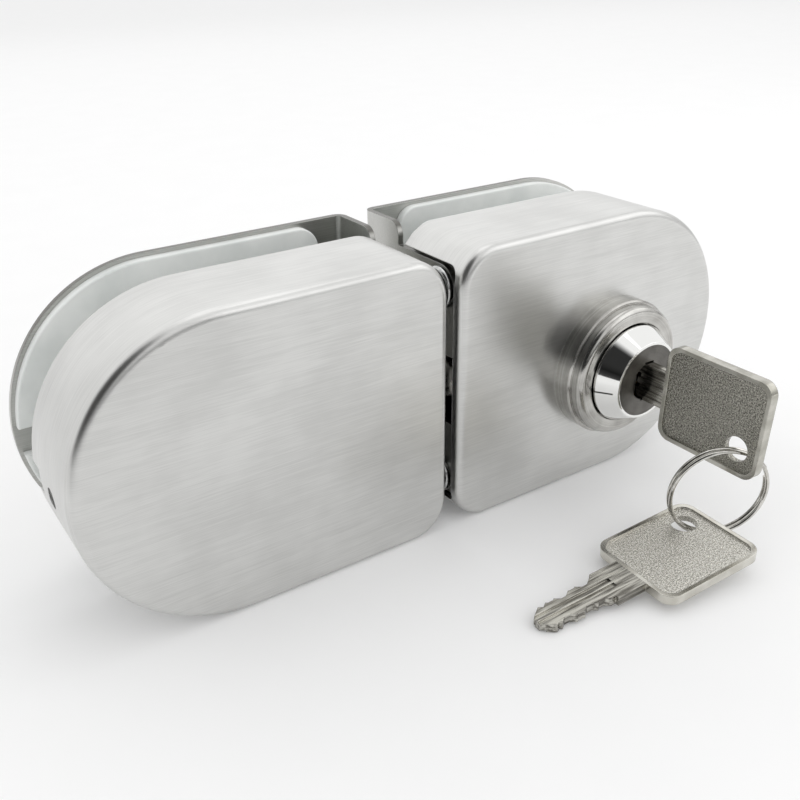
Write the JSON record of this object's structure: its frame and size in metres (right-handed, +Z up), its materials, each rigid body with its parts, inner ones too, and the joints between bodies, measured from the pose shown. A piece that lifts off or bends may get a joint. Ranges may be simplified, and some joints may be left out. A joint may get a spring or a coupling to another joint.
{
  "type": "sliding glass door lock",
  "caption": "Clamp-on lock for a pair of sliding glass doors: a keyed half throws a hook bolt into a strike half, with a key in the cylinder and a spare on a split ring.",
  "frame": {"origin": "centre of the bottom of the overall box, on the surface that both halves stand on", "axes": "+X from the strike half to the lock half, +Y from the keyed front to the back plates, +Z up"},
  "size_m": [0.167, 0.0932, 0.066],
  "materials": {
    "brushed_stainless": "satin brushed",
    "plate_stainless": "mill finish",
    "white_pad": "matt",
    "screw_steel": "bright zinc plated",
    "collar_satin": "satin",
    "bezel_chrome": "mirror",
    "plug_nickel": "satin nickel",
    "hardened_steel": "satin nickel",
    "spring_steel": "bare",
    "brass_wafer": "bare",
    "key_nickel": "nickel plated",
    "ring_steel": "bright nickel"
  },
  "bodies": {
    "strike": {"strike_cover": "brushed_stainless", "strike_chassis": "plate_stainless", "strike_front_pad": "white_pad", "strike_flange_screws": "screw_steel", "strike_grub_screw": "screw_steel", "strike_dust_box": "plate_stainless"},
    "strike_clamp": {"strike_bracket": "plate_stainless", "strike_rear_pad": "white_pad"},
    "lock": {"lock_cover": "brushed_stainless", "lock_chassis": "plate_stainless", "lock_front_pad": "white_pad", "lock_flange_screws": "screw_steel", "lock_grub_screw": "screw_steel", "case_lid": "plate_stainless", "case_posts": "screw_steel", "case_screws": "screw_steel", "hook_pin": "hardened_steel", "rack_guide": "hardened_steel", "cylinder_collar": "collar_satin", "cylinder_body": "bezel_chrome", "cylinder_nut": "bezel_chrome"},
    "lock_clamp": {"lock_bracket": "plate_stainless", "lock_rear_pad": "white_pad"},
    "hook": {"hook_bolt": "hardened_steel"},
    "rack": {"drive_rack": "hardened_steel"},
    "plug": {"plug": "plug_nickel", "drive_pinion": "hardened_steel", "pinion_clip": "spring_steel", "wafers": "brass_wafer", "wafer_springs": "spring_steel"},
    "key": {"key": "key_nickel"},
    "ring": {"split_ring": "ring_steel"},
    "spare": {"spare_key": "key_nickel"}
  },
  "joints": [
    {"name": "door_slide", "type": "slide", "parent": "strike", "child": "lock", "axis": [1, 0, 0], "range_m": [0, 0.04]},
    {"name": "strike_clamp_slide", "type": "slide", "parent": "strike", "child": "strike_clamp", "axis": [0, 1, 0], "range_m": [-0.0025, 0.0012]},
    {"name": "lock_clamp_slide", "type": "slide", "parent": "lock", "child": "lock_clamp", "axis": [0, 1, 0], "range_m": [-0.0025, 0.0012]},
    {"name": "plug_turn", "type": "hinge", "parent": "lock", "child": "plug", "pos_m": [0.04625, 0.00638, 0.0305], "axis": [0, 1, 0], "range_deg": [0, 90]},
    {"name": "rack_slide", "type": "slide", "parent": "lock", "child": "rack", "axis": [-1, 0, 0], "range_m": [0, 0.00943]},
    {"name": "hook_turn", "type": "hinge", "parent": "lock", "child": "hook", "pos_m": [0.0145, 0.00638, 0.0104], "axis": [0, 1, 0], "range_deg": [-67.5, 0]},
    {"name": "key_withdraw", "type": "slide", "parent": "plug", "child": "key", "axis": [0, -1, 0], "range_m": [0, 0.03]},
    {"name": "ring_swing", "type": "hinge", "parent": "key", "child": "ring", "pos_m": [0.04625, -0.03382, 0.0245], "axis": [0.8438, -0.4872, -0.225], "range_deg": [-40, 12]},
    {"name": "spare_key_swing", "type": "hinge", "parent": "ring", "child": "spare", "pos_m": [0.0385, -0.02935, 0.00513], "axis": [-0.6953, 0.4014, 0.5962], "range_deg": [-45, 15]}
  ],
  "couplings": [
    {"joint": "rack_slide", "follows": "plug_turn", "m_per_rad": 0.006},
    {"joint": "hook_turn", "follows": "plug_turn", "ratio": -0.75}
  ]
}
